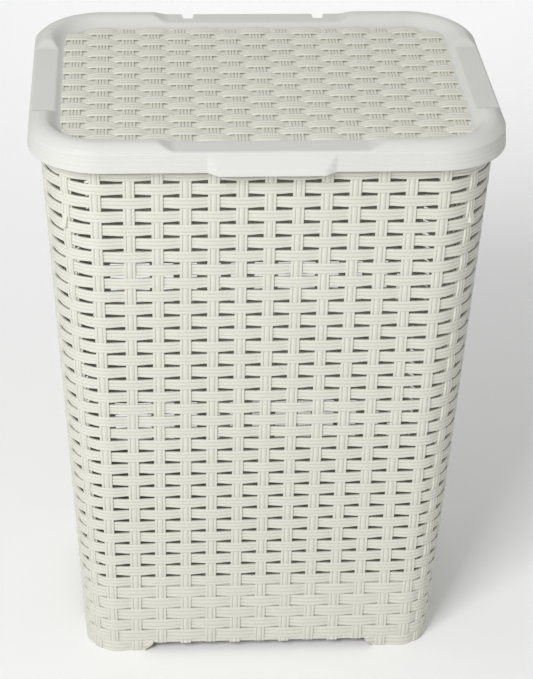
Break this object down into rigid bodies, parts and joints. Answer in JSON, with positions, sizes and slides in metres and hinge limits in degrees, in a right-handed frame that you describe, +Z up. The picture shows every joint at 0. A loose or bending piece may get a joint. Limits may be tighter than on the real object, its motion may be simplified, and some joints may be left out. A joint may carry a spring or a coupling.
{
  "type": "laundry hamper with lid",
  "caption": "Tapered woven-look plastic laundry hamper on corner feet, with hand holes and a crowned lid that swings open on back hooks.",
  "frame": {"origin": "on the floor, under the centre of the closed hamper's bounding box", "axes": "+Z up, +X to the right as seen from the front, -Y towards the front, where the lift lip is"},
  "size_m": [0.452, 0.3504, 0.608],
  "materials": {
    "basket_plastic": "moulded polypropylene, satin, ivory",
    "lid_plastic": "moulded polypropylene, satin, ivory"
  },
  "bodies": {
    "basket": {"basket_wall_front": "basket_plastic", "basket_wall_back": "basket_plastic", "basket_wall_left": "basket_plastic", "basket_wall_right": "basket_plastic", "corner_post_front_left": "basket_plastic", "corner_post_front_right": "basket_plastic", "corner_post_back_left": "basket_plastic", "corner_post_back_right": "basket_plastic", "foot_front_left": "basket_plastic", "foot_front_right": "basket_plastic", "foot_back_left": "basket_plastic", "foot_back_right": "basket_plastic", "basket_base": "basket_plastic", "basket_rim": "basket_plastic", "hand_hold_left": "basket_plastic", "hand_hold_right": "basket_plastic", "nesting_stops": "basket_plastic", "hinge_hook_left": "basket_plastic", "hinge_hook_right": "basket_plastic"},
    "lid": {"lid_frame": "lid_plastic", "lid_woven_panel": "lid_plastic", "lid_lift_lip": "lid_plastic", "lid_hinge_bar_left": "lid_plastic", "lid_hinge_bar_right": "lid_plastic"}
  },
  "joints": [
    {"name": "lid_hinge", "type": "hinge", "parent": "basket", "child": "lid", "pos_m": [0, 0.16975, 0.5852], "axis": [-1, 0, 0], "range_deg": [0, 105]}
  ]
}
